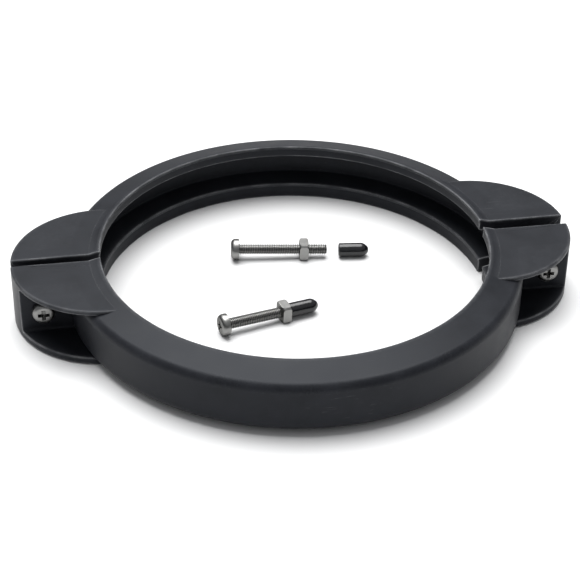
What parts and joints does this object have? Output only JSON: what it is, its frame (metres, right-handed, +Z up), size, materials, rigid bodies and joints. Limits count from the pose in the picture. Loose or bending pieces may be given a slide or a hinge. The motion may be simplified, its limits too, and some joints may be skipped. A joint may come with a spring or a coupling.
{
  "type": "split flange clamp",
  "caption": "Two-piece split ring clamp with an inner flange groove, bolted through a lug on each side, with cross-recess screws, square nuts and thread caps.",
  "frame": {"origin": "centre of the ring on the plane it rests on", "axes": "+X from the left lug to the right lug, +Y from the front half (screw heads) to the rear half (nuts), +Z up"},
  "size_m": [0.3056, 0.2474, 0.035],
  "materials": {
    "black_plastic": "fine-grained moulded black plastic, satin on rubbed edges",
    "bright_steel": "bright stainless steel",
    "black_vinyl": "dipped glossy black vinyl"
  },
  "bodies": {
    "front_half": {"front_half": "black_plastic"},
    "rear_half": {"rear_half": "black_plastic", "left_nut": "bright_steel", "right_nut": "bright_steel"},
    "left_screw": {"left_screw": "bright_steel"},
    "right_screw": {"right_screw": "bright_steel"},
    "left_cap": {"left_cap": "black_vinyl"},
    "right_cap": {"right_cap": "black_vinyl"},
    "spare_screw": {"spare_screw": "bright_steel"},
    "spare_nut": {"spare_nut": "bright_steel"},
    "spare_cap": {"spare_cap": "black_vinyl"},
    "second_spare_screw": {"second_spare_screw": "bright_steel"},
    "second_spare_nut": {"second_spare_nut": "bright_steel"},
    "second_spare_cap": {"second_spare_cap": "black_vinyl"}
  },
  "joints": [
    {"name": "clamp_gap", "type": "slide", "parent": "front_half", "child": "rear_half", "axis": [0, 1, 0], "range_m": [-0.0042, 0.011]},
    {"name": "left_screw_turn", "type": "hinge", "parent": "front_half", "child": "left_screw", "pos_m": [-0.1372, -0.0188, 0.01675], "axis": [0, 1, 0], "range_deg": [-4100, 1600]},
    {"name": "right_screw_turn", "type": "hinge", "parent": "front_half", "child": "right_screw", "pos_m": [0.1372, -0.0188, 0.01675], "axis": [0, 1, 0], "range_deg": [-4100, 1600]},
    {"name": "left_cap_pull", "type": "slide", "parent": "rear_half", "child": "left_cap", "axis": [0, 1, 0], "range_m": [0, 0.03]},
    {"name": "right_cap_pull", "type": "slide", "parent": "rear_half", "child": "right_cap", "axis": [0, 1, 0], "range_m": [0, 0.03]},
    {"name": "spare_screw_lift", "type": "slide", "parent": "front_half", "child": "spare_screw", "axis": [0, 0, 1], "range_m": [0, 0.15]},
    {"name": "spare_nut_travel", "type": "slide", "parent": "spare_screw", "child": "spare_nut", "axis": [0.9942, -0.1045, -0.0253], "range_m": [-0.034, 0.0105]},
    {"name": "spare_cap_lift", "type": "slide", "parent": "front_half", "child": "spare_cap", "axis": [0, 0, 1], "range_m": [0, 0.15]},
    {"name": "second_spare_screw_lift", "type": "slide", "parent": "front_half", "child": "second_spare_screw", "axis": [0, 0, 1], "range_m": [0, 0.15]},
    {"name": "second_spare_nut_travel", "type": "slide", "parent": "second_spare_screw", "child": "second_spare_nut", "axis": [0.9655, 0.2587, -0.0281], "range_m": [-0.03, 0]},
    {"name": "second_spare_cap_pull", "type": "slide", "parent": "second_spare_screw", "child": "second_spare_cap", "axis": [0.9655, 0.2587, -0.0281], "range_m": [0, 0.03]}
  ],
  "couplings": [
    {"joint": "left_screw_turn", "follows": "clamp_gap", "rad_per_m": -6283.2},
    {"joint": "right_screw_turn", "follows": "clamp_gap", "rad_per_m": -6283.2}
  ]
}
